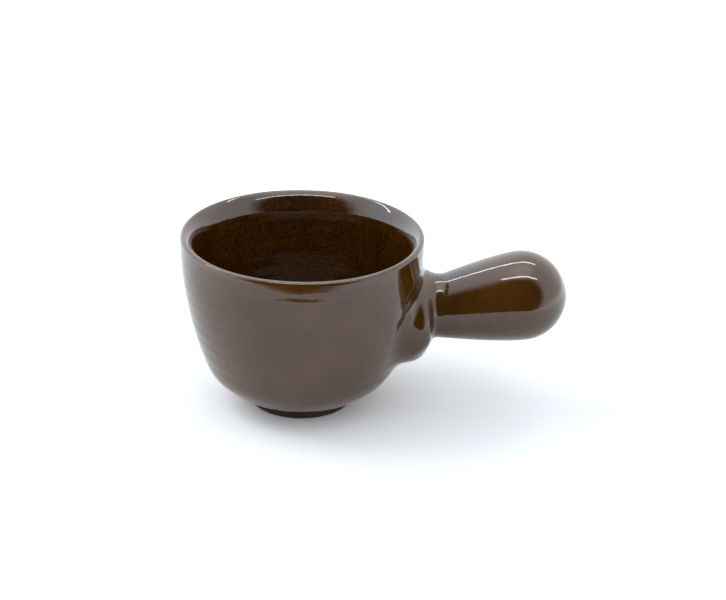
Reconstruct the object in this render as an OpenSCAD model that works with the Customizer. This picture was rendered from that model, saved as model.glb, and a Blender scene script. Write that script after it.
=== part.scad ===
// Glazed stoneware pot with one hollow stick handle.
// The origin is the centre of the foot, on the surface that the pot stands on.
// +Z runs up the bowl's axis, and +X runs out along the handle.
// The sizes of the pot are taken over the glaze, and the clay lies one coat below.

/* [Bowl] */
// Outer diameter at the rim
rim_d = 110; // [104:1:120]
// Height from the foot to the top of the rim
pot_h = 82; // [76:1:95]
// Thickness of the wall at the rim, which is rounded over
rim_wall = 4.3; // [3.4:0.1:5.5]
// Thickness of the wall above the foot
base_wall = 6.5; // [5.5:0.1:8]
// Radius at the knee, where the belly turns up into the flank
knee_r = 44; // [42:0.5:46]
// Height of the knee
knee_h = 20.2; // [18:0.2:23]
// Slope of the side at the knee, from level
knee_angle = 69.5; // [66:0.5:73]
// Slope of the belly where it leaves the foot, from level
belly_angle = 25.5; // [20:0.5:32]
// How far the floor sinks from the wall to the middle
floor_dip = 1.2; // [0.6:0.1:1.8]

/* [Foot] */
// Outer diameter of the foot ring
foot_d = 47.8; // [44:0.2:52]
// Height of the foot ring
foot_h = 3.2; // [2.4:0.1:4.5]
// Width of the foot ring
foot_w = 5; // [4:0.1:7]
// Bevel on the two lower edges of the foot ring
foot_bevel = 0.6; // [0.3:0.1:1]

/* [Handle] */
// Length of the handle along its axis, outside the rim's radius
handle_len = 67; // [60:1:78]
// Height at which the handle's axis leaves the collar
handle_h = 46.6; // [43:0.2:50]
// Slope of the handle's axis, from level
handle_tilt = 10.7; // [6:0.1:14]
// Diameter of the neck where it leaves the collar
neck_d = 27.2; // [24:0.2:30]
// Diameter of the bulb at the end of the handle
bulb_d = 41.3; // [38:0.1:45]
// Slope of the neck where it leaves the collar, against the handle's axis
neck_flare = 6.4; // [4:0.2:9]
// How far the neck keeps that slope
neck_pull = 3.5; // [2:0.5:8]
// How far before its centre the bulb starts to level off
bulb_pull = 11.6; // [8:0.2:15]
// Thickness of the wall of the hollow handle
handle_wall = 4.5; // [3.5:0.1:6]
// Diameter of the vent under the neck, which lets the hollow breathe in the kiln
vent_d = 2.5; // [2:0.1:4]
// Distance of the vent from the collar's face, along the handle's axis
vent_out = 10; // [6:0.5:16]

/* [Collar] */
// Diameter of the thick collar at the root of the handle
collar_d = 44; // [40:0.5:47]
// How far the collar's face stands out from the rim's radius
collar_out = 4.2; // [2.5:0.1:6]
// How far the collar's centre sits below the handle's axis, at its face
collar_drop = 4; // [2:0.2:6]
// Radius of the collar's rounded edge
collar_round = 12; // [8:0.5:13]

/* [Coats] */
// Thickness of the glaze
glaze = 0.35; // [0.25:0.05:0.6]
// Thickness of the slip that joins the clay pieces
slip = 0.5; // [0.3:0.05:0.8]

/* [Hidden] */

clay_colour = [0.72, 0.58, 0.46];
foot_colour = [0.30, 0.22, 0.17];
slip_colour = [0.80, 0.68, 0.56];
glaze_colour = [0.40, 0.26, 0.16];
liner_colour = [0.28, 0.16, 0.08];

// Steps along each curve of an outline
side_steps = 10;
floor_steps = 4;
rim_steps = 6;
neck_steps = 12;
cap_steps = 9;
round_steps = 7;
$fn = 96;

rim_r = rim_d / 2;
foot_r = foot_d / 2;
neck_r = neck_d / 2;
bulb_r = bulb_d / 2;
collar_r = collar_d / 2;
rim_half = rim_wall / 2;
lip_h = pot_h - rim_half;

// The side of the bowl is two curves that share the slope at the knee
foot_edge = [foot_r, foot_h];
knee = [knee_r, knee_h];
lip = [rim_r, lip_h];
belly_pull = crossing(foot_edge, belly_angle, knee, knee_angle);
flank_pull = crossing(knee, knee_angle, lip, 90);

// Places along the handle's axis are counted from the bowl's axis
collar_face = rim_r + collar_out;
collar_h = handle_h - collar_drop;
axis_h = handle_h - collar_face * tan(handle_tilt);
neck_at = collar_face;
bulb_at = rim_r + handle_len - bulb_r;
vent_at = collar_face + vent_out;
// The collar and the handle are drawn from well inside the bowl, which cuts them off
root_at = knee_r / 2;

// Where the line from p at angle a meets the line from q at angle b
function crossing(p, a, q, b) =
    let (d = q - p, along = (d.x * sin(b) - d.y * cos(b)) / sin(b - a))
    p + along * [cos(a), sin(a)];

function bend(a, b, c, t) = (1 - t) * (1 - t) * a + 2 * t * (1 - t) * b + t * t * c;
function bend_way(a, b, c, t) = unit((1 - t) * (b - a) + t * (c - b));
function swing(a, b, c, d, t) = (1 - t) * bend(a, b, c, t) + t * bend(b, c, d, t);
function swing_way(a, b, c, d, t) = unit(bend(b, c, d, t) - bend(a, b, c, t));
function unit(v) = v / norm(v);
function left(v) = [-v.y, v.x];
function backwards(points) = [for (i = [len(points) - 1:-1:0]) points[i]];
function rest(points) = [for (i = [1:len(points) - 1]) points[i]];
function steps(count) = [for (i = [0:count]) i / count];
function arc(centre, r, from, to, count) =
    [for (t = steps(count)) let (a = from + t * (to - from)) centre + r * [cos(a), sin(a)]];

// The side of the bowl from the foot to the lip, moved inwards by depth.
// Depth is measured from the outer face, and grows by taper down to the foot.
function belly(depth, taper) = [for (t = steps(side_steps))
    bend(foot_edge, belly_pull, knee, t)
        + (depth + taper * (1 - t / 2)) * left(bend_way(foot_edge, belly_pull, knee, t))];
function flank(depth, taper) = [for (t = steps(side_steps)) if (t > 0)
    bend(knee, flank_pull, lip, t)
        + (depth + taper * (1 - t) / 2) * left(bend_way(knee, flank_pull, lip, t))];
function side(depth, taper = 0) = concat(belly(depth, taper), flank(depth, taper));

// The inside of the bowl from the lip down to the middle of the floor, sunk below its glaze by sink
function inner_side(sink) = backwards(side(rim_wall - sink, base_wall - rim_wall));
inner_foot = inner_side(0)[2 * side_steps];
floor_middle = [0, inner_foot.y - floor_dip];
floor_pull = [inner_foot.x - floor_dip / tan(belly_angle), floor_middle.y];
function floor_line(sink) = [for (t = steps(floor_steps)) if (t > 0)
    bend(inner_foot, floor_pull, floor_middle, t)
        + sink * left(bend_way(inner_foot, floor_pull, floor_middle, t))];
function inside(sink) = concat(inner_side(sink), floor_line(sink));

// The rounded rim, from the outer face at 0 degrees to the inner face at 180
rim_centre = [rim_r - rim_half, lip_h];
function rim(sink, from, to) = arc(rim_centre, rim_half - sink, from, to, rim_steps * (to - from) / 90);

// The handle's outer face along its axis, sunk by depth, up to the tip
function neck(depth) =
    let (a = [neck_at, neck_r], b = a + neck_pull * [1, tan(neck_flare)],
         d = [bulb_at, bulb_r], c = d - [bulb_pull, 0])
    [for (t = steps(neck_steps)) swing(a, b, c, d, t) - depth * left(swing_way(a, b, c, d, t))];
function handle_line(depth) = concat(
    [[root_at, 0], [root_at, neck(depth)[0].y]],
    neck(depth),
    rest(arc([bulb_at, 0], bulb_r - depth, 90, 0, cap_steps))
);

function collar_line(depth) = concat(
    [[root_at, 0], [root_at, collar_r - depth]],
    arc([collar_face, collar_r] - collar_round * [1, 1], collar_round - depth, 90, 0, round_steps),
    [[collar_face - depth, 0]]
);

// Turns a drawing of distance along an axis and radius into a solid along +X
module turned_along_x(points) {
    rotate([0, 90, 0]) rotate_extrude() polygon([for (p = points) [p.y, p.x]]);
}

module on_handle_axis() {
    translate([0, 0, axis_h]) rotate([0, -handle_tilt, 0]) children();
}

// The bowl as a solid block without its hollow, sunk below its glaze by depth
module bowl_block(depth) {
    rotate_extrude() polygon(concat(
        [[0, foot_h]],
        side(depth),
        rest(rim(depth, 0, 90)),
        [[0, pot_h - depth]]
    ));
}

module handle_block(depth) {
    on_handle_axis() turned_along_x(handle_line(depth));
}

module collar_block(depth) {
    translate([0, 0, collar_h]) turned_along_x(collar_line(depth));
}

module vent() {
    on_handle_axis() translate([vent_at, 0, -bulb_d]) cylinder(d = vent_d, h = bulb_d);
}

// Clay wall and floor of the bowl
module bowl_body() {
    color(clay_colour) rotate_extrude() polygon(concat(
        [[0, foot_h], foot_edge],
        side(glaze),
        rest(rim(glaze, 0, 180)),
        rest(inside(glaze))
    ));
}

// Bare clay ring that the pot stands on
module foot_ring() {
    inner_r = foot_r - foot_w;
    color(foot_colour) rotate_extrude() polygon([
        [inner_r, foot_h], [inner_r, foot_bevel], [inner_r + foot_bevel, 0],
        [foot_r - foot_bevel, 0], [foot_r, foot_bevel], foot_edge
    ]);
}

// Hollow handle, open where it butts against the bowl
module handle_tube() {
    color(clay_colour) difference() {
        handle_block(glaze);
        handle_block(handle_wall);
        bowl_block(glaze - slip);
        vent();
    }
}

// Thick collar pressed round the root of the handle
module handle_collar() {
    color(clay_colour) difference() {
        collar_block(glaze);
        handle_block(glaze - slip);
        bowl_block(glaze - slip);
    }
}

// Slip between the bowl and what is stuck to it
module wall_slip() {
    color(slip_colour) difference() {
        intersection() {
            bowl_block(glaze - slip);
            union() {
                collar_block(glaze);
                handle_block(glaze);
            }
        }
        bowl_block(glaze);
        handle_block(handle_wall);
    }
}

// Slip between the handle and the collar round it
module collar_slip() {
    color(slip_colour) difference() {
        intersection() {
            handle_block(glaze - slip);
            collar_block(glaze);
        }
        handle_block(glaze);
        bowl_block(glaze - slip);
    }
}

// Glaze inside the bowl, from the top of the rim to the floor
module liner_glaze() {
    color(liner_colour) rotate_extrude() polygon(concat(
        rim(0, 90, 180),
        rest(inside(0)),
        backwards(rest(inside(glaze))),
        backwards(rim(glaze, 90, 180))
    ));
}

// Glaze outside the bowl, from the foot to the top of the rim
module outside_glaze() {
    color(glaze_colour) difference() {
        rotate_extrude() polygon(concat(
            side(0),
            rest(rim(0, 0, 90)),
            backwards(rest(rim(glaze, 0, 90))),
            backwards(side(glaze))
        ));
        collar_block(glaze);
        handle_block(glaze);
    }
}

// Glaze over the collar, down to the glaze of the bowl
module collar_glaze() {
    color(glaze_colour) difference() {
        collar_block(0);
        collar_block(glaze);
        handle_block(glaze);
        bowl_block(0);
    }
}

// Glaze over the handle, from the collar to the tip
module handle_glaze() {
    color(glaze_colour) difference() {
        handle_block(0);
        handle_block(glaze);
        collar_block(0);
        bowl_block(0);
        vent();
    }
}

bowl_body();
foot_ring();
handle_tube();
handle_collar();
wall_slip();
collar_slip();
liner_glaze();
outside_glaze();
collar_glaze();
handle_glaze();
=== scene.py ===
# Glazed stoneware pot with a stick handle, photographed on white paper
import math
import bpy
import numpy as np
from mathutils import Matrix, Vector


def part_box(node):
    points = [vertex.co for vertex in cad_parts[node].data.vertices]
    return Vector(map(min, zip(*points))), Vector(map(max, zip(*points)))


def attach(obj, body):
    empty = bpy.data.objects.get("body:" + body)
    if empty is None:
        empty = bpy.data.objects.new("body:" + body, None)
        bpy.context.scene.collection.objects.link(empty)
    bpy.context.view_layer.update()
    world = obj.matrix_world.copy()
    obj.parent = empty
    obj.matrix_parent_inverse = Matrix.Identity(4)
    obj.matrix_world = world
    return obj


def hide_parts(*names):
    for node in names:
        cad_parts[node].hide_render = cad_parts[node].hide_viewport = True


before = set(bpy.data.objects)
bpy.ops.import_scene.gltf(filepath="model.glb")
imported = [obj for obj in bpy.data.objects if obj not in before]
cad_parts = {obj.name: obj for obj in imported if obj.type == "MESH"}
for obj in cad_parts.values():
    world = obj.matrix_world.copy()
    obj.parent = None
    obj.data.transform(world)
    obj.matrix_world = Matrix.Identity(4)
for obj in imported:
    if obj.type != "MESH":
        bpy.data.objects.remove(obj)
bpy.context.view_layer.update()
scene = bpy.context.scene
mm = 0.001  # all the shapes below are worked out in millimetres
print("frame loaded")


def boxMm(node):
    low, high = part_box(node)
    return np.array(low) / mm, np.array(high) / mm


outsideHigh = boxMm("outside_glaze")[1]
footHigh = boxMm("foot_ring")[1]
handleHigh = boxMm("handle_glaze")[1]
collarLow, collarHigh = boxMm("collar_glaze")

# sizes over the glaze, the same as the clay model's but for the rim's section, the wall and the sag
bowl = {
    "rimR": outsideHigh[0],
    "height": outsideHigh[2],
    "footR": footHigh[0],
    "footH": footHigh[2],
    "baseWall": 6.5,
    "kneeR": 44.0,
    "kneeH": 20.2,
    "kneeAngle": math.radians(69.5),
    "bellyAngle": math.radians(25.5),
    "floorDip": 1.2,
    "columns": 192,
    "bellyRows": 14,
    "flankRows": 28,
    "rimRows": 12,
    "floorRows": 10,
    "innerRows": 44,
    "edgeRound": 1.8,      # the rim's outer edge is tight, and its inside falls away softly
    "lipBends": [(30, 50, 9.0), (50, 72, 13.0), (72, 86, 30.0)],   # from and to degrees, radius
    "midWall": 7.7,
    "frontSag": 0.9,
}
handle = {
    "tilt": math.radians(10.7),
    "leavesAt": 46.6,      # height where the axis leaves the collar's face
    "neckR": 13.6,
    "bulbR": handleHigh[1],
    "flare": math.radians(6.4),
    "neckPull": 3.5,
    "bulbPull": 11.6,
    "rootSoft": 3.0,       # length over which the flare dies out into the root
    "capRows": 24,
    "neckRows": 40,
    "rootRows": 46,
    "ventR": 1.35,
    "ventOut": 10.0,
}
collar = {
    "r": (collarHigh[1] - collarLow[1]) / 2,
    "face": collarHigh[0],
    "drop": 4.0,
    "roundUnder": 12.0,
    "roundOver": 6.0,
    "wallFilletUnder": 5.5,
    "wallFilletSide": 7.5,
    "neckFilletUnder": 3.2,
    "neckFilletOver": 7.0,
    "neckFilletSide": 5.5,
    "reachOver": 29.0,     # how far from the handle's axis the root has died out in the wall
    "reachSide": 34.0,
    "reachUnder": 32.0,
}
coat = {
    "thick": 0.30,
    "lumps": 0.10,         # slow unevenness of the thrown wall
    "rings": 0.045,        # throwing rings
    "ringPitch": 6.3,
}

lipH = bowl["height"] - bowl["edgeRound"]
axisWay = np.array([math.cos(handle["tilt"]), 0, math.sin(handle["tilt"])])
axisUp = np.array([-math.sin(handle["tilt"]), 0, math.cos(handle["tilt"])])
axisSide = np.array([0.0, 1.0, 0.0])
axisStart = np.array([0, 0, handle["leavesAt"] - collar["face"] * math.tan(handle["tilt"])])
collarH = handle["leavesAt"] - collar["drop"]
neckAt = collar["face"]
# the tip's distance along the axis gives the bulb's centre
bulbAt = (handleHigh[0] - handle["bulbR"]) / axisWay[0]


def crossing(p, a, q, b):
    d = q - p
    along = (d[0] * math.sin(b) - d[1] * math.cos(b)) / math.sin(b - a)
    return p + along * np.array([math.cos(a), math.sin(a)])


def bend(a, b, c, t):
    t = np.asarray(t, float)[..., None]
    return (1 - t) ** 2 * a + 2 * t * (1 - t) * b + t * t * c


def bendWay(a, b, c, t):
    t = np.asarray(t, float)[..., None]
    way = (1 - t) * (b - a) + t * (c - b)
    return way / np.linalg.norm(way, axis=-1, keepdims=True)


def smooth(t):
    t = np.clip(t, 0, 1)
    return t * t * (3 - 2 * t)


def toLeft(v):
    return np.stack([-v[..., 1], v[..., 0]], -1)


footEdge = np.array([bowl["footR"], bowl["footH"]])
knee = np.array([bowl["kneeR"], bowl["kneeH"]])
lip = np.array([bowl["rimR"], lipH])
bellyPull = crossing(footEdge, bowl["bellyAngle"], knee, bowl["kneeAngle"])
flankPull = crossing(knee, bowl["kneeAngle"], lip, math.pi / 2)
bellyCurve = (footEdge, bellyPull, knee)
flankCurve = (knee, flankPull, lip)


# u runs from 0 at the foot through 1 at the knee to 2 at the lip
def sideAt(u):
    u = np.asarray(u, float)
    low, high = np.clip(u, 0, 1), np.clip(u - 1, 0, 1)
    onFlank = (u > 1)[..., None]
    place = np.where(onFlank, bend(*flankCurve, high), bend(*bellyCurve, low))
    way = np.where(onFlank, bendWay(*flankCurve, high), bendWay(*bellyCurve, low))
    return place, -toLeft(way)


def heightToU(z):
    def solve(curve, z):
        z0, z1, z2 = (point[1] for point in curve)
        a, b, c = z0 - 2 * z1 + z2, 2 * (z1 - z0), z0 - z
        return np.clip((-b + np.sqrt(np.maximum(b * b - 4 * a * c, 0))) / (2 * a), 0, 1)
    return np.where(z > knee[1], 1 + solve(flankCurve, z), solve(bellyCurve, z))


# the outline of the whole bowl: places and outward normals, from the foot to the middle of the floor
def bowlOutline():
    outer = np.concatenate([np.linspace(0, 1, bowl["bellyRows"] + 1),
                            np.linspace(1, 2, bowl["flankRows"] + 1)[1:]])
    places, normals = sideAt(outer)
    lastTurn = math.radians(90 + bowl["lipBends"][0][0])
    turn = np.linspace(0, lastTurn, bowl["rimRows"] + 1)[1:]
    rimWay = np.stack([np.cos(turn), np.sin(turn)], -1)
    rimMiddle = np.array([bowl["rimR"] - bowl["edgeRound"], lipH])
    rim = rimMiddle + bowl["edgeRound"] * rimWay
    line = [rim[-1]]
    for start, end, radius in bowl["lipBends"]:
        turn = np.radians(np.linspace(start, end, 60))
        fall = np.stack([np.sin(turn[0]) - np.sin(turn), np.cos(turn) - np.cos(turn[0])], -1)
        line += list(line[-1] + radius * fall[1:])
    back = np.linspace(1.55, 0, 300)
    innerBase, innerOut = sideAt(back)
    depth = bowl["baseWall"] + (bowl["midWall"] - bowl["baseWall"]) * smooth(back / 1.4)
    lower = innerBase - depth[:, None] * innerOut
    joinWay = np.array([-math.sin(math.radians(4)), -1.0])
    gap = line[-1][1] - lower[0][1]
    pull = line[-1] + joinWay * gap / 2
    line = np.vstack([line, bend(line[-1], pull, lower[0], np.linspace(0, 1, 60))[1:-1], lower])
    gone = np.concatenate([[0], np.cumsum(np.linalg.norm(np.diff(line, axis=0), axis=1))])
    marks = np.linspace(0, 1, bowl["innerRows"] + 1)[1:] ** 1.25 * gone[-1]
    way = np.stack([np.gradient(line[:, 0], gone), np.gradient(line[:, 1], gone)], -1)
    inner = np.stack([np.interp(marks, gone, line[:, k]) for k in (0, 1)], -1)
    innerWay = np.stack([np.interp(marks, gone, way[:, k]) for k in (0, 1)], -1)
    innerNormal = -toLeft(innerWay / np.linalg.norm(innerWay, axis=1, keepdims=True))
    middle = np.array([0.0, inner[-1][1] - bowl["floorDip"]])
    pull = np.array([inner[-1][0] - bowl["floorDip"] / math.tan(bowl["bellyAngle"]), middle[1]])
    t = np.linspace(0, 1, bowl["floorRows"] + 1)[1:]
    floor = bend(inner[-1], pull, middle, t)
    floorNormal = -toLeft(bendWay(inner[-1], pull, middle, t))
    return {
        "outerU": outer,
        "places": np.concatenate([places, rim, inner, floor]),
        "normals": np.concatenate([normals, rimWay, innerNormal, floorNormal]),
        "rimRow": len(outer) - 1 + bowl["rimRows"] * 3 // 4,
    }


# signed distances for the places where the handle, the collar and the wall flow together
def wallField(p):
    r = np.hypot(p[..., 0], p[..., 1])
    place, normal = sideAt(heightToU(p[..., 2]))
    return (r - place[..., 0]) * normal[..., 0] + (p[..., 2] - place[..., 1]) * normal[..., 1]


def collarField(p):
    out = np.hypot(p[..., 1], p[..., 2] - collarH)
    under = smooth(((collarH - p[..., 2]) / np.maximum(out, 1e-6) - 0.15) / 0.65)
    edge = collar["roundOver"] + (collar["roundUnder"] - collar["roundOver"]) * under
    x = p[..., 0] - collar["face"] + edge
    y = out - collar["r"] + edge
    return np.minimum(np.maximum(x, y), 0) + np.hypot(np.maximum(x, 0), np.maximum(y, 0)) - edge


def neckTable():
    a = np.array([neckAt, handle["neckR"]])
    d = np.array([bulbAt, handle["bulbR"]])
    b = a + handle["neckPull"] * np.array([1, math.tan(handle["flare"])])
    c = d - np.array([handle["bulbPull"], 0])
    t = np.linspace(0, 1, 4001)
    curve = (1 - t)[:, None] * bend(a, b, c, t) + t[:, None] * bend(b, c, d, t)
    slope = np.gradient(curve[:, 1], curve[:, 0])
    return curve[:, 0], curve[:, 1], slope


neckS, neckRadii, neckSlopes = neckTable()


def handleRadius(s):
    soft = handle["rootSoft"]
    fade = np.exp(np.minimum(s - neckAt, 0) / soft)
    root = handle["neckR"] - math.tan(handle["flare"]) * soft * (1 - fade)
    slope = np.where(s < neckAt, math.tan(handle["flare"]) * fade, np.interp(s, neckS, neckSlopes))
    return np.where(s < neckAt, root, np.interp(s, neckS, neckRadii)), slope


def handleField(p):
    q = p - axisStart
    s = q @ axisWay
    out = np.hypot(q @ axisUp, q @ axisSide)
    radius, slope = handleRadius(np.minimum(s, bulbAt))
    side = (out - radius) / np.sqrt(1 + slope * slope)
    return np.where(s > bulbAt, np.hypot(s - bulbAt, out) - handle["bulbR"], side)


def melt(a, b, width):
    h = np.maximum(width - np.abs(a - b), 0) / width
    return np.minimum(a, b) - h * h * width / 4


def rootReach(over, sideways):
    upDown = np.where(over > 0, collar["reachOver"], collar["reachUnder"])
    return 1 / np.hypot(over / upDown, sideways / collar["reachSide"])


def potField(p):
    q = p - axisStart
    over, sideways = q @ axisUp, q @ axisSide
    out = np.maximum(np.hypot(over, sideways), 1e-6)
    over, sideways = over / out, sideways / out
    side = smooth((np.abs(sideways) - 0.42) / 0.45)
    onWall = collar["wallFilletUnder"] + (collar["wallFilletSide"] - collar["wallFilletUnder"]) * side
    upDown = np.where(over > 0, collar["neckFilletOver"], collar["neckFilletUnder"])
    onNeck = upDown + (collar["neckFilletSide"] - upDown) * side
    wall = wallField(p)
    pot = melt(melt(wall, collarField(p), onWall), handleField(p), onNeck)
    fade = smooth((out / rootReach(over, sideways) - 0.7) / 0.28)
    return pot + (wall - pot) * fade


def fieldNormal(p):
    tiny = 0.02
    g = np.stack([potField(p + tiny * e) - potField(p - tiny * e) for e in np.eye(3)], -1)
    return g / np.linalg.norm(g, axis=-1, keepdims=True)


# slow lumps and throwing rings, in millimetres along the normal
def unevenness(p):
    x, y, z = p[..., 0], p[..., 1], p[..., 2]
    lumps = (np.sin(x / 9.1 + 1.3 * np.sin(z / 17.0)) * np.sin(y / 10.7 + 0.7) * np.sin(z / 8.3 + 0.4)
             + 0.6 * np.sin(x / 5.3 + 2.1) * np.sin(z / 6.1 + y / 13.0))
    turn = np.arctan2(y, x)
    rings = np.sin(2 * math.pi * z / coat["ringPitch"] + turn + 0.8 * np.sin(z / 11.0))
    nearBowl = 1 / (1 + np.exp((np.hypot(x, y) - bowl["rimR"] - 2) / 1.5))
    inFoot = np.clip((z - bowl["footH"]) / 4, 0, 1)
    lumps = coat["lumps"] * 0.5 * (lumps - 1.6)
    return (lumps + coat["rings"] * (rings - 1) * nearBowl) * inFoot


# the rim dips a little towards the front, as thrown rims do
def sagged(p):
    share = smooth((0.2 - p[:, 1] / bowl["rimR"]) / 1.2) * smooth((p[:, 2] - 50) / 30)
    return p - np.outer(bowl["frontSag"] * share, [0, 0, 1])


def roughened(p, n):
    tiny = 0.05
    g = np.stack([unevenness(p + tiny * e) - unevenness(p - tiny * e) for e in np.eye(3)], -1) / (2 * tiny)
    g -= (g * n).sum(-1, keepdims=True) * n
    m = n - g
    return p + unevenness(p)[:, None] * n, m / np.linalg.norm(m, axis=-1, keepdims=True)


# follows the outline of the handle and the collar from the tip to the wall,
# in the half planes at these angles
def traceHandle(angles, reach):
    outWay = np.cos(angles)[:, None] * axisUp + np.sin(angles)[:, None] * axisSide

    def place(sr):
        return axisStart + sr[:, :1] * axisWay + sr[:, 1:] * outWay

    def slopeAt(sr):
        tiny = 0.01
        ds, dr = np.array([tiny, 0]), np.array([0, tiny])
        g = np.stack([potField(place(sr + ds)) - potField(place(sr - ds)),
                      potField(place(sr + dr)) - potField(place(sr - dr))], -1) / (2 * tiny)
        return g

    now = np.tile([bulbAt + handle["bulbR"], 1e-4], (len(angles), 1))
    path = [now.copy()]
    step = 0.3
    while (path[-1][:, 1] < reach).any() and len(path) < 900:
        g = slopeAt(now)
        way = np.stack([-g[:, 1], g[:, 0]], -1) / np.linalg.norm(g, axis=1, keepdims=True)
        g = slopeAt(now + step / 2 * way)
        way = np.stack([-g[:, 1], g[:, 0]], -1) / np.linalg.norm(g, axis=1, keepdims=True)
        now = now + step * way
        for _ in range(2):
            g = slopeAt(now)
            now = now - (potField(place(now)) / (g * g).sum(1))[:, None] * g
        path.append(now.copy())
    return np.array(path)


def resample(path, marks):
    gone = np.concatenate([[0], np.cumsum(np.linalg.norm(np.diff(path, axis=0), axis=1))])
    want = marks * gone[-1]
    return np.stack([np.interp(want, gone, path[:, 0]), np.interp(want, gone, path[:, 1])], -1)


def cutAt(path, key, value):
    past = np.argmax(key > value)
    share = (value - key[past - 1]) / (key[past] - key[past - 1])
    end = path[past - 1] + share * (path[past] - path[past - 1])
    return past, end


# rings of points from the tip to where the collar's fillet has died out on the wall
def handleRings(angles, reach):
    path = traceHandle(angles, reach)
    rings = []
    for j in range(len(angles)):
        line = path[:, j]
        capEnd, bulbPoint = cutAt(line, -line[:, 0], -bulbAt)
        rootFrom = neckAt + 5.0
        neckEnd, neckPoint = cutAt(line, -line[:, 0], -rootFrom)
        wallEnd, wallPoint = cutAt(line, line[:, 1], reach[j])
        cap = resample(np.vstack([line[:capEnd], bulbPoint]), np.linspace(0, 1, handle["capRows"] + 1))
        neck = resample(np.vstack([bulbPoint, line[capEnd:neckEnd], neckPoint]),
                        np.linspace(0, 1, handle["neckRows"] + 1))
        root = resample(np.vstack([neckPoint, line[neckEnd:wallEnd], wallPoint]),
                        np.linspace(0, 1, handle["rootRows"] + 1))
        rings.append(np.vstack([cap, neck[1:], root[1:]]))
    sr = np.array(rings).transpose(1, 0, 2)
    outWay = np.cos(angles)[:, None] * axisUp + np.sin(angles)[:, None] * axisSide
    points = axisStart + sr[..., :1] * axisWay + sr[..., 1:] * outWay
    return sr, points


def settle(points):
    for _ in range(3):
        n = fieldNormal(points)
        points = points - potField(points)[..., None] * n
    return points, fieldNormal(points)


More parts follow.
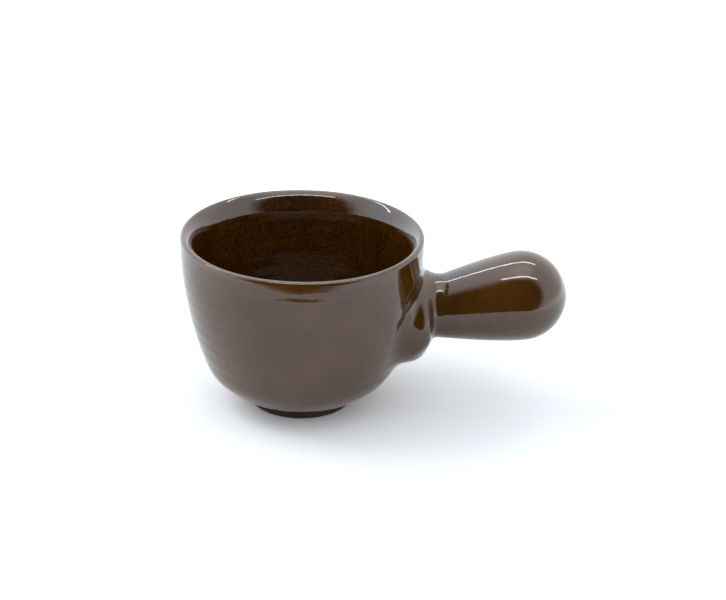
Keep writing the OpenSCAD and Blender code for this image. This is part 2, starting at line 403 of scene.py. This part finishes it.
def buildSkin():
    outline = bowlOutline()
    columns = bowl["columns"]
    rows = len(outline["places"])
    turn = np.arange(columns) * 2 * math.pi / columns
    spin = np.stack([np.cos(turn), np.sin(turn)], -1)
    verts, normals, faces, tags = [], [], [], []

    def lathe(pair):
        return np.concatenate([pair[0] * spin, np.full((columns, 1), pair[1])], 1)

    for i in range(rows - 1):
        verts.append(lathe(outline["places"][i]))
        normals.append(lathe(outline["normals"][i]))
    verts.append(np.array([[0, 0, outline["places"][-1][1]]]))
    normals.append(np.array([[0, 0, 1.0]]))
    poleIndex = (rows - 1) * columns

    # the block of cells round the handle's root is left out and filled with the root's own rings
    half = 27
    lowRow = int(np.argmax(outline["places"][:, 1] > 7.5))
    highRow = int(np.argmax(outline["places"][:, 1] > 77.0))

    def index(row, column):
        return row * columns + column % columns

    for i in range(rows - 1):
        for j in range(columns):
            inBlock = lowRow <= i < highRow and (j < half or j >= columns - half)
            if inBlock:
                continue
            tag = "bowl" if i < outline["rimRow"] else "liner"
            if i == rows - 2:
                faces.append((index(i, j), index(i, j + 1), poleIndex))
            else:
                faces.append((index(i, j), index(i, j + 1), index(i + 1, j + 1), index(i + 1, j)))
            tags.append(tag)

    # once round the block, starting above the handle: the angle grows from +Z towards +Y
    border = [(highRow, c) for c in range(0, half)]
    border += [(r, half) for r in range(highRow, lowRow, -1)]
    border += [(lowRow, c) for c in range(half, -half, -1)]
    border += [(r, -half) for r in range(lowRow, highRow)]
    border += [(highRow, c) for c in range(-half, 0)]
    count = len(border)
    borderU = np.array([outline["outerU"][r] for r, _ in border])
    borderTurn = np.array([c for _, c in border]) * 2 * math.pi / columns
    borderPlace, _ = sideAt(borderU)
    borderPoint = np.stack([borderPlace[:, 0] * np.cos(borderTurn),
                            borderPlace[:, 0] * np.sin(borderTurn), borderPlace[:, 1]], -1)
    q = borderPoint - axisStart
    seen = np.unwrap(np.arctan2(q @ axisSide, q @ axisUp))
    even = np.arange(count) * 2 * math.pi / count
    angles = 0.45 * seen + 0.55 * even
    reach = rootReach(np.cos(angles), np.sin(angles))
    sr, rings = handleRings(angles, reach)
    shape = rings.shape
    settled, ringNormals = settle(rings[1:].reshape(-1, 3))
    rings = np.concatenate([rings[:1], settled.reshape(shape[0] - 1, count, 3)])
    ringNormals = ringNormals.reshape(shape[0] - 1, count, 3)
    ringNormals = np.concatenate([np.tile(axisWay, (1, count, 1)), ringNormals])

    # between the last ring and the block's border the points run over the plain wall
    lastTurn = np.arctan2(rings[-1][:, 1], rings[-1][:, 0])
    lastU = heightToU(rings[-1][:, 2])
    between = 4
    for k in range(1, between):
        share = k / between
        u = lastU + share * (borderU - lastU)
        a = lastTurn + share * (borderTurn - lastTurn)
        place, normal = sideAt(u)
        ring = np.stack([place[:, 0] * np.cos(a), place[:, 0] * np.sin(a), place[:, 1]], -1)
        ringN = np.stack([normal[:, 0] * np.cos(a), normal[:, 0] * np.sin(a), normal[:, 1]], -1)
        rings = np.concatenate([rings, ring[None]])
        ringNormals = np.concatenate([ringNormals, ringN[None]])

    # the vent under the neck: the cells there are opened and drawn into a circle
    ventS = neckAt + handle["ventOut"]
    ventRow = int(np.argmin(np.abs(sr[:, count // 2, 0] - ventS) + 1e3 * (sr[:, count // 2, 1] > 19)
                            * (np.arange(len(sr)) > handle["capRows"] + handle["neckRows"])))
    ventColumn = int(np.argmin(np.abs(angles - math.pi)))
    reachCells = 2
    for di in range(-3, 4):
        for dj in range(-3, 4):
            far = max(abs(di), abs(dj))
            if far < reachCells:
                continue
            i, j = ventRow + di, ventColumn + dj
            s, ring = sr[i, j]
            local = np.array([s - sr[ventRow, ventColumn, 0], (angles[j] - angles[ventColumn]) * ring])
            size = np.linalg.norm(local)
            pull = 1.0 if far == reachCells else 0.4
            goal = handle["ventR"] * (1 if far == reachCells else 1.8)
            local = local * (1 + pull * (goal / size - 1))
            s = sr[ventRow, ventColumn, 0] + local[0]
            a = angles[ventColumn] + local[1] / ring
            radius, slope = handleRadius(np.array(s))
            out = math.cos(a) * axisUp + math.sin(a) * axisSide
            rings[i, j] = axisStart + s * axisWay + radius * out
            n = out - slope * axisWay
            ringNormals[i, j] = n / np.linalg.norm(n)

    base = poleIndex + 1
    tip = base
    verts.append(rings[0, :1])
    normals.append(np.array([axisWay]))
    verts.append(rings[1:].reshape(-1, 3))
    normals.append(ringNormals[1:].reshape(-1, 3))
    lastRing = len(rings) - 1
    neckRing = handle["capRows"] + handle["neckRows"]
    rootRing = neckRing + handle["rootRows"]

    def ringIndex(row, j):
        j %= count
        if row > lastRing:
            return index(*border[j])
        return tip if row == 0 else base + 1 + (row - 1) * count + j

    for i in range(lastRing + 1):
        tag = "handle" if i < neckRing else "collar" if i < rootRing else "bowl"
        for j in range(count):
            inVent = ventRow - reachCells <= i < ventRow + reachCells \
                and ventColumn - reachCells <= j < ventColumn + reachCells
            if inVent:
                continue
            corners = (ringIndex(i, j), ringIndex(i, j + 1), ringIndex(i + 1, j + 1), ringIndex(i + 1, j))
            faces.append(corners[1:] if i == 0 else corners)
            tags.append(tag)
    verts, normals = np.concatenate(verts), np.concatenate(normals)
    verts, normals = roughened(verts, normals)
    return sagged(verts), normals, faces, np.array(tags)


def newObject(name, mesh):
    obj = bpy.data.objects.new(name, mesh)
    scene.collection.objects.link(obj)
    return obj


# a closed shell: the outer face, the same face sunk into the clay, and a wall along each open edge
def coatPiece(name, verts, normals, faces):
    used = sorted({v for face in faces for v in face})
    new = {v: i for i, v in enumerate(used)}
    outer = verts[used]
    n = normals[used]
    under = outer - coat["thick"] * n
    count = len(used)
    top = [tuple(new[v] for v in face) for face in faces]
    # each face is turned to look along its normals
    turned = []
    for face in top:
        a, b, c = (outer[v] for v in face[:3])
        looks = np.cross(b - a, c - a) @ n[list(face)].sum(0)
        turned.append(face if looks > 0 else face[::-1])
    bottom = [tuple(v + count for v in face[::-1]) for face in turned]
    edges = {}
    for face in turned:
        for a, b in zip(face, face[1:] + face[:1]):
            edges[(a, b)] = (b, a) not in edges and edges.get((a, b), True)
            if (b, a) in edges:
                edges[(b, a)] = edges[(a, b)] = False
    walls = [(b, a, a + count, b + count) for (a, b), lone in edges.items() if lone]
    mesh = bpy.data.meshes.new(name)
    points = np.concatenate([outer, under]) * mm
    mesh.from_pydata(points.tolist(), [], turned + bottom + walls)
    mesh.polygons.foreach_set("use_smooth", np.ones(len(mesh.polygons), bool))
    loopNormals = []
    both = np.concatenate([n, -n])
    for polygon in mesh.polygons:
        if polygon.index < 2 * len(turned):
            loopNormals += [both[v].tolist() for v in polygon.vertices]
        else:
            loopNormals += [list(polygon.normal)] * 4
    mesh.normals_split_custom_set(loopNormals)
    mesh.validate()
    return newObject(name, mesh)


skinVerts, skinNormals, skinFaces, skinTags = buildSkin()
coats = {}
for tag, name in [("bowl", "glaze_outside_bowl"), ("liner", "glaze_inside_bowl"),
                  ("collar", "glaze_on_collar"), ("handle", "glaze_on_handle")]:
    ownFaces = [face for face, mark in zip(skinFaces, skinTags) if mark == tag]
    coats[tag] = coatPiece(name, skinVerts, skinNormals, ownFaces)
print("glaze coats built")


# the clay wall and floor of the bowl, just under the glaze
def clayBowl():
    outline = bowlOutline()
    line = outline["places"] - clayUnder * outline["normals"]
    line[-1, 0] = 0
    line = np.vstack([[[0, bowl["footH"]]], [[bowl["footR"], bowl["footH"]]], line[1:]])
    columns = bowl["columns"]
    turn = np.arange(columns) * 2 * math.pi / columns
    rows = len(line) - 2
    points = np.concatenate([[[0, 0, line[0][1]]]] + [
        np.stack([r * np.cos(turn), r * np.sin(turn), np.full(columns, z)], -1) for r, z in line[1:-1]
    ] + [[[0, 0, line[-1][1]]]])
    faces = []
    for j in range(columns):
        k = (j + 1) % columns
        faces.append((0, 1 + k, 1 + j))
        for i in range(rows - 1):
            first = 1 + i * columns
            faces.append((first + j, first + k, first + columns + k, first + columns + j))
        first = 1 + (rows - 1) * columns
        faces.append((first + j, first + k, len(points) - 1))
    mesh = bpy.data.meshes.new("clay_of_bowl")
    mesh.from_pydata((sagged(points) * mm).tolist(), [], faces)
    mesh.polygons.foreach_set("use_smooth", np.ones(len(mesh.polygons), bool))
    mesh.set_sharp_from_angle(angle=math.radians(40))
    return newObject("clay_of_bowl", mesh)


clayUnder = 0.6   # from the face of the glaze to the clay
clayPiece = clayBowl()
print("clay bowl built")


# materials: small helpers that add and join nodes
class Shade:
    def __init__(self, name):
        self.material = bpy.data.materials.new(name)
        self.material.use_nodes = True
        self.tree = self.material.node_tree
        self.shader = self.tree.nodes["Principled BSDF"]
        self.place = self.add("ShaderNodeTexCoord").outputs["Object"]

    def add(self, kind, **settings):
        node = self.tree.nodes.new(kind)
        for key, value in settings.items():
            setattr(node, key, value)
        return node

    def join(self, source, target):
        self.tree.links.new(source, target)

    def noise(self, size, detail=2.0, roughness=0.5, distortion=0.0, stretch=None):
        node = self.add("ShaderNodeTexNoise")
        node.inputs["Scale"].default_value = 1 / (size * mm)
        node.inputs["Detail"].default_value = detail
        node.inputs["Roughness"].default_value = roughness
        node.inputs["Distortion"].default_value = distortion
        self.join(self.stretched(stretch) if stretch else self.place, node.inputs["Vector"])
        return node.outputs["Fac"]

    def stretched(self, amounts):
        node = self.add("ShaderNodeMapping")
        node.inputs["Scale"].default_value = amounts
        self.join(self.place, node.inputs["Vector"])
        return node.outputs["Vector"]

    def ramp(self, value, *stops):
        node = self.add("ShaderNodeValToRGB")
        elements = node.color_ramp.elements
        while len(elements) < len(stops):
            elements.new(0.5)
        for element, (at, colour) in zip(elements, stops):
            element.position = at
            element.color = (*colour, 1) if isinstance(colour, tuple) else (colour, colour, colour, 1)
        self.join(value, node.inputs["Fac"])
        return node.outputs["Color"]

    def mix(self, share, a, b, how="MIX"):
        node = self.add("ShaderNodeMix", data_type="RGBA", blend_type=how)
        sockets = [s for s in node.inputs if s.type == "RGBA"]
        for value, socket in [(share, node.inputs["Factor"]), (a, sockets[0]), (b, sockets[1])]:
            if isinstance(value, bpy.types.NodeSocket):
                self.join(value, socket)
            elif isinstance(value, tuple):
                socket.default_value = (*value, 1)
            else:
                socket.default_value = value
        return [s for s in node.outputs if s.type == "RGBA"][0]

    def math(self, how, a, b=0.0, clamp=False):
        node = self.add("ShaderNodeMath", operation=how, use_clamp=clamp)
        for value, socket in zip((a, b), node.inputs):
            if isinstance(value, bpy.types.NodeSocket):
                self.join(value, socket)
            else:
                socket.default_value = value
        return node.outputs[0]

    def between(self, value, low, high, newLow=0.0, newHigh=1.0):
        node = self.add("ShaderNodeMapRange", interpolation_type="SMOOTHSTEP")
        for socket, number in zip(list(node.inputs)[1:5], (low, high, newLow, newHigh)):
            socket.default_value = number
        self.join(value, node.inputs["Value"])
        return node.outputs["Result"]

    def specks(self, size, share, soft=0.3):
        node = self.add("ShaderNodeTexVoronoi")
        node.inputs["Scale"].default_value = 1 / (size * mm)
        node.inputs["Randomness"].default_value = 1.0
        self.join(self.place, node.inputs["Vector"])
        tone = self.add("ShaderNodeSeparateColor")
        self.join(node.outputs["Color"], tone.inputs["Color"])
        chosen = self.math("LESS_THAN", tone.outputs["Red"], share)
        spot = self.between(node.outputs["Distance"], 0.12, 0.12 + soft, 1.0, 0.0)
        return self.math("MULTIPLY", chosen, spot)

    def height(self, axis="Z"):
        node = self.add("ShaderNodeSeparateXYZ")
        self.join(self.place, node.inputs["Vector"])
        return node.outputs[axis]

    def bump(self, value, depth, before=None):
        node = self.add("ShaderNodeBump")
        node.inputs["Strength"].default_value = 1.0
        node.inputs["Distance"].default_value = depth * mm
        self.join(value, node.inputs["Height"])
        if before:
            self.join(before, node.inputs["Normal"])
        return node.outputs["Normal"]

    def finish(self, colour, roughness, normal, **fixed):
        self.join(colour, self.shader.inputs["Base Color"])
        if isinstance(roughness, bpy.types.NodeSocket):
            self.join(roughness, self.shader.inputs["Roughness"])
        else:
            self.shader.inputs["Roughness"].default_value = roughness
        if normal:
            self.join(normal, self.shader.inputs["Normal"])
        for key, value in fixed.items():
            self.shader.inputs[key].default_value = value
        return self.material


def brownGlaze(name, look):
    s = Shade(name)
    cloud = s.noise(look["cloud"], 3, 0.55)
    body = s.ramp(cloud, (0.32, look["dark"]), (0.5, look["middle"]), (0.68, look["light"]))
    mottle = s.ramp(s.noise(look["mottle"], 2, 0.6), (0.3, look["mottleLow"]), (0.7, look["mottleHigh"]))
    body = s.mix(1.0, body, mottle, "MULTIPLY")
    body = s.mix(s.math("MULTIPLY", s.specks(look["speck"], look["speckShare"]), look["speckDepth"]),
                 body, look["iron"])
    rimBreak = s.between(s.height(), (bowl["height"] - 1.1) * mm, (bowl["height"] - 0.1) * mm)
    body = s.mix(s.math("MULTIPLY", rimBreak, look["rimBreak"]), body, look["thin"])
    wave = s.bump(s.noise(look["wave"], 2, 0.45), look["waveDepth"])
    pit = s.bump(s.noise(look["pit"], 2, 0.5), look["pitDepth"], wave)
    dull = s.between(s.noise(look["cloud"] * 0.7, 2, 0.5), 0.3, 0.7, look["gloss"], look["dull"])
    return s.finish(body, dull, pit, IOR=1.6)


outsideLook = {
    "cloud": 22.0, "dark": (0.062, 0.0225, 0.0020), "middle": (0.082, 0.031, 0.0028),
    "light": (0.100, 0.040, 0.0045),
    "mottle": 1.1, "mottleLow": 0.86, "mottleHigh": 1.12,
    "speck": 1.3, "speckShare": 0.10, "speckDepth": 0.35, "iron": (0.022, 0.008, 0.002),
    "rimBreak": 0.45, "thin": (0.11, 0.052, 0.018),
    "wave": 5.0, "waveDepth": 0.05, "pit": 1.0, "pitDepth": 0.006,
    "gloss": 0.035, "dull": 0.07,
}
# the liner's darker tones are partly painted shade of the bowl's hollow; its stronger mottle and denser
# specks are the glaze's own pattern
insideShadedLook = dict(outsideLook, dark=(0.046, 0.0155, 0.0014), middle=(0.066, 0.0225, 0.0020),
                  light=(0.086, 0.031, 0.0035), mottleLow=0.45, mottleHigh=1.45, mottle=1.5, speckShare=0.3)
glazeOutside = brownGlaze("brown glaze outside", outsideLook)
glazeInsideShaded = brownGlaze("brown glaze inside, darkened as painted shade", insideShadedLook)


def bareClay(name, look):
    s = Shade(name)
    body = s.ramp(s.noise(look["cloud"], 3, 0.6), (0.3, look["dark"]), (0.7, look["light"]))
    grog = s.specks(look["grog"], 0.3)
    body = s.mix(s.math("MULTIPLY", grog, 0.6), body, look["grain"])
    rough = s.bump(s.noise(look["grog"] * 0.7, 3, 0.6), look["tooth"])
    turned = s.bump(s.noise(2.5, 2, 0.5, 0, (0.1, 0.1, 3.0)), look["tooth"], rough)
    return s.finish(body, s.between(s.noise(0.8), 0.3, 0.7, 0.62, 0.85), turned, IOR=1.45)


clayLook = {"cloud": 9.0, "dark": (0.030, 0.017, 0.012), "light": (0.052, 0.031, 0.022),
            "grog": 0.7, "grain": (0.085, 0.058, 0.043), "tooth": 0.03}
slipLook = dict(clayLook, dark=(0.024, 0.014, 0.010), light=(0.038, 0.023, 0.017), grog=0.4, tooth=0.015)
bareFoot = bareClay("bare foot clay", clayLook)
bodyClay = bareClay("body clay under the glaze", clayLook)
joiningSlip = bareClay("joining slip", slipLook)

for tag, node, slot in [("bowl", "outside_glaze", "brown_glaze"), ("liner", "liner_glaze", "liner_glaze"),
                        ("collar", "collar_glaze", "brown_glaze"), ("handle", "handle_glaze", "brown_glaze")]:
    coats[tag].data.materials.append(glazeInsideShaded if tag == "liner" else glazeOutside)
    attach(coats[tag], "root")
    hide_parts(node)

clayPiece.data.materials.append(bodyClay)
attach(clayPiece, "root")
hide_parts("bowl_body")

for node, material in [("handle_tube", bodyClay), ("handle_collar", bodyClay),
                       ("foot_ring", bareFoot), ("wall_slip", joiningSlip), ("collar_slip", joiningSlip)]:
    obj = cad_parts[node]
    obj = obj if isinstance(obj, bpy.types.Object) else bpy.data.objects[node]
    for place in obj.material_slots:
        place.material = material
print("materials done")

# the white paper, the room and the lamps
paper = {
    "front": -195.0, "left": -900.0, "right": 1000.0, "back": 1600.0,
    "white": (0.90, 0.885, 0.87), "seen": (1.62, 1.68, 1.73), "mirrored": 1.9, "near": 130.0, "far": 420.0,
}


def layPaper():
    x = np.linspace(paper["left"], paper["right"], 20)
    y = np.linspace(paper["front"], paper["back"], 20)
    points = [(a * mm, b * mm, 0.0) for b in y for a in x]
    faces = [(i * 20 + j, i * 20 + j + 1, (i + 1) * 20 + j + 1, (i + 1) * 20 + j)
             for i in range(19) for j in range(19)]
    mesh = bpy.data.meshes.new("paper")
    mesh.from_pydata(points, [], faces)
    obj = newObject("white_paper", mesh)
    s = Shade("white paper")
    s.tree.nodes.remove(s.shader)
    plain, bright = s.add("ShaderNodeBsdfDiffuse"), s.add("ShaderNodeBsdfDiffuse")
    plain.inputs["Color"].default_value = (*paper["white"], 1)
    away = s.add("ShaderNodeVectorMath", operation="LENGTH")
    s.join(s.place, away.inputs[0])
    farShare = s.between(away.outputs["Value"], paper["near"] * mm, paper["far"] * mm)
    rays = s.add("ShaderNodeLightPath")
    farShare = s.math("MULTIPLY", farShare, rays.outputs["Is Glossy Ray"])
    mirrored = tuple(paper["mirrored"] * part for part in paper["seen"])
    s.join(s.mix(farShare, paper["seen"], mirrored), bright.inputs["Color"])
    seen = s.math("MAXIMUM", rays.outputs["Is Camera Ray"], rays.outputs["Is Glossy Ray"])
    seen = s.math("MAXIMUM", seen, rays.outputs["Is Transmission Ray"])
    both = s.add("ShaderNodeMixShader")
    s.join(seen, both.inputs[0])
    s.join(plain.outputs[0], both.inputs[1])
    s.join(bright.outputs[0], both.inputs[2])
    s.join(both.outputs[0], s.tree.nodes["Material Output"].inputs["Surface"])
    mesh.materials.append(s.material)


layPaper()

room = {
    "ambient": (0.66, 0.68, 0.70), "white": (1.0, 1.0, 1.0), "mirrored": 1.7, "dark": (0.035, 0.033, 0.032),
    "darkWay": (0.0, -0.94, 0.34), "darkTo": 42.0, "whiteFrom": 64.0,
    "ceiling": (2.8, 2.7, 2.6), "ceilingTo": 12.0, "ceilingFrom": 30.0,
    "window": (2.1, 2.35, 2.6), "windowWay": (-0.85, 0.45, 0.3), "windowFrom": 70.0, "windowTo": 25.0,
}


def makeRoom():
    world = bpy.data.worlds.new("studio")
    scene.world = world
    world.use_nodes = True
    tree = world.node_tree
    tree.nodes.clear()

    def add(kind, **settings):
        node = tree.nodes.new(kind)
        for key, value in settings.items():
            setattr(node, key, value)
        return node

    def sums(how, a, b=0.0, clamp=False):
        node = add("ShaderNodeMath", operation=how, use_clamp=clamp)
        for value, socket in zip((a, b), node.inputs):
            if isinstance(value, bpy.types.NodeSocket):
                tree.links.new(value, socket)
            else:
                socket.default_value = value
        return node.outputs[0]

    def step(value, low, high, newLow=0.0, newHigh=1.0):
        node = add("ShaderNodeMapRange", interpolation_type="SMOOTHSTEP")
        for socket, number in zip(list(node.inputs)[1:5], (low, high, newLow, newHigh)):
            socket.default_value = number
        tree.links.new(value, node.inputs["Value"])
        return node.outputs["Result"]

    front = add("ShaderNodeVectorMath", operation="DOT_PRODUCT")
    tree.links.new(add("ShaderNodeTexCoord").outputs["Generated"], front.inputs[0])
    front.inputs[1].default_value = room["darkWay"]
    apart = sums("MULTIPLY", sums("ARCCOSINE", front.outputs["Value"]), 180 / math.pi)
    paperShare = step(apart, room["darkTo"], room["whiteFrom"])
    colour = add("ShaderNodeMix", data_type="RGBA")
    sockets = [s for s in colour.inputs if s.type == "RGBA"]
    sockets[0].default_value = (*room["dark"], 1)
    sockets[1].default_value = (*(room["mirrored"] * part for part in room["white"]), 1)
    tree.links.new(paperShare, colour.inputs["Factor"])
    side = add("ShaderNodeVectorMath", operation="DOT_PRODUCT")
    tree.links.new(front.inputs[0].links[0].from_socket, side.inputs[0])
    side.inputs[1].default_value = Vector(room["windowWay"]).normalized()
    fromWindow = sums("MULTIPLY", sums("ARCCOSINE", side.outputs["Value"]), 180 / math.pi)
    windowShare = step(fromWindow, room["windowTo"], room["windowFrom"], 1.0, 0.0)
    lit = add("ShaderNodeMix", data_type="RGBA")
    litSockets = [s for s in lit.inputs if s.type == "RGBA"]
    tree.links.new([s for s in colour.outputs if s.type == "RGBA"][0], litSockets[0])
    litSockets[1].default_value = (*room["window"], 1)
    tree.links.new(windowShare, lit.inputs["Factor"])
    above = add("ShaderNodeSeparateXYZ")
    tree.links.new(front.inputs[0].links[0].from_socket, above.inputs[0])
    fromTop = sums("MULTIPLY", sums("ARCCOSINE", above.outputs["Z"]), 180 / math.pi)
    topShare = step(fromTop, room["ceilingTo"], room["ceilingFrom"], 1.0, 0.0)
    topped = add("ShaderNodeMix", data_type="RGBA")
    toppedSockets = [s for s in topped.inputs if s.type == "RGBA"]
    tree.links.new([s for s in lit.outputs if s.type == "RGBA"][0], toppedSockets[0])
    toppedSockets[1].default_value = (*room["ceiling"], 1)
    tree.links.new(topShare, topped.inputs["Factor"])
    mirror = add("ShaderNodeBackground")
    tree.links.new([s for s in topped.outputs if s.type == "RGBA"][0], mirror.inputs["Color"])
    ambient = add("ShaderNodeBackground")
    ambient.inputs["Color"].default_value = (*room["ambient"], 1)
    backdrop = add("ShaderNodeBackground")
    backdrop.inputs["Color"].default_value = (*room["white"], 1)
    rays = add("ShaderNodeLightPath")
    first, second = add("ShaderNodeMixShader"), add("ShaderNodeMixShader")
    tree.links.new(rays.outputs["Is Glossy Ray"], first.inputs[0])
    tree.links.new(ambient.outputs[0], first.inputs[1])
    tree.links.new(mirror.outputs[0], first.inputs[2])
    clear = sums("MAXIMUM", rays.outputs["Is Camera Ray"], rays.outputs["Is Transmission Ray"])
    tree.links.new(clear, second.inputs[0])
    tree.links.new(first.outputs[0], second.inputs[1])
    tree.links.new(backdrop.outputs[0], second.inputs[2])
    tree.links.new(second.outputs[0], add("ShaderNodeOutputWorld").inputs["Surface"])


makeRoom()

tubes = {
    "high": 1600.0, "wide": 110.0, "radiance": 12.0,
    "runs": [(-2000, 850, 780), (-580, 1150, -490)],   # from x, to x, y
}


def hangTube(name, startX, endX, y):
    data = bpy.data.lights.new(name, "AREA")
    data.shape = "RECTANGLE"
    data.size = (endX - startX) * mm
    data.size_y = tubes["wide"] * mm
    data.energy = tubes["radiance"] * math.pi * data.size * data.size_y
    lamp = newObject(name, data)
    lamp.location = ((startX + endX) / 2 * mm, y * mm, tubes["high"] * mm)
    lamp.visible_diffuse = False   # only its reflection matters
    return lamp


for number, (startX, endX, y) in enumerate(tubes["runs"]):
    hangTube(f"tube_{number}", startX, endX, y)

softKey = {"at": (-1100.0, 200.0, 1200.0), "size": 900.0, "level": 0.14}


def placeKey():
    data = bpy.data.lights.new("soft_key", "AREA")
    data.size = softKey["size"] * mm
    away = Vector(softKey["at"]) * mm
    data.energy = softKey["level"] * math.pi * math.pi * away.length_squared * away.length / away.z
    lamp = newObject("soft_key", data)
    lamp.location = away
    lamp.rotation_euler = away.to_track_quat("Z", "Y").to_euler()
    lamp.visible_glossy = False


placeKey()
print("paper, room and lamps ready")

# the camera
shot = {
    "wide": 726, "elevation": math.radians(24.346), "roll": math.radians(1.595),
    "distance": 807.8, "focalPixels": 1772.4, "sensor": 36.0, "target": (27.88, 0.0, 49.49),
}


def setCamera():
    data = bpy.data.cameras.new("camera")
    data.sensor_fit = "HORIZONTAL"
    data.sensor_width = shot["sensor"]
    data.lens = shot["focalPixels"] / shot["wide"] * shot["sensor"]
    data.clip_start = 0.05
    camera = newObject("camera", data)
    back = Vector((0, -math.cos(shot["elevation"]), math.sin(shot["elevation"])))
    level = Vector((1, 0, 0))
    above = back.cross(level)
    right = level * math.cos(shot["roll"]) + above * math.sin(shot["roll"])
    up = above * math.cos(shot["roll"]) - level * math.sin(shot["roll"])
    where = (Vector(shot["target"]) + back * shot["distance"]) * mm
    camera.matrix_world = Matrix((
        (right.x, up.x, back.x, where.x),
        (right.y, up.y, back.y, where.y),
        (right.z, up.z, back.z, where.z),
        (0, 0, 0, 1)))
    scene.camera = camera


setCamera()
scene.view_settings.view_transform = "Standard"
print("camera set")
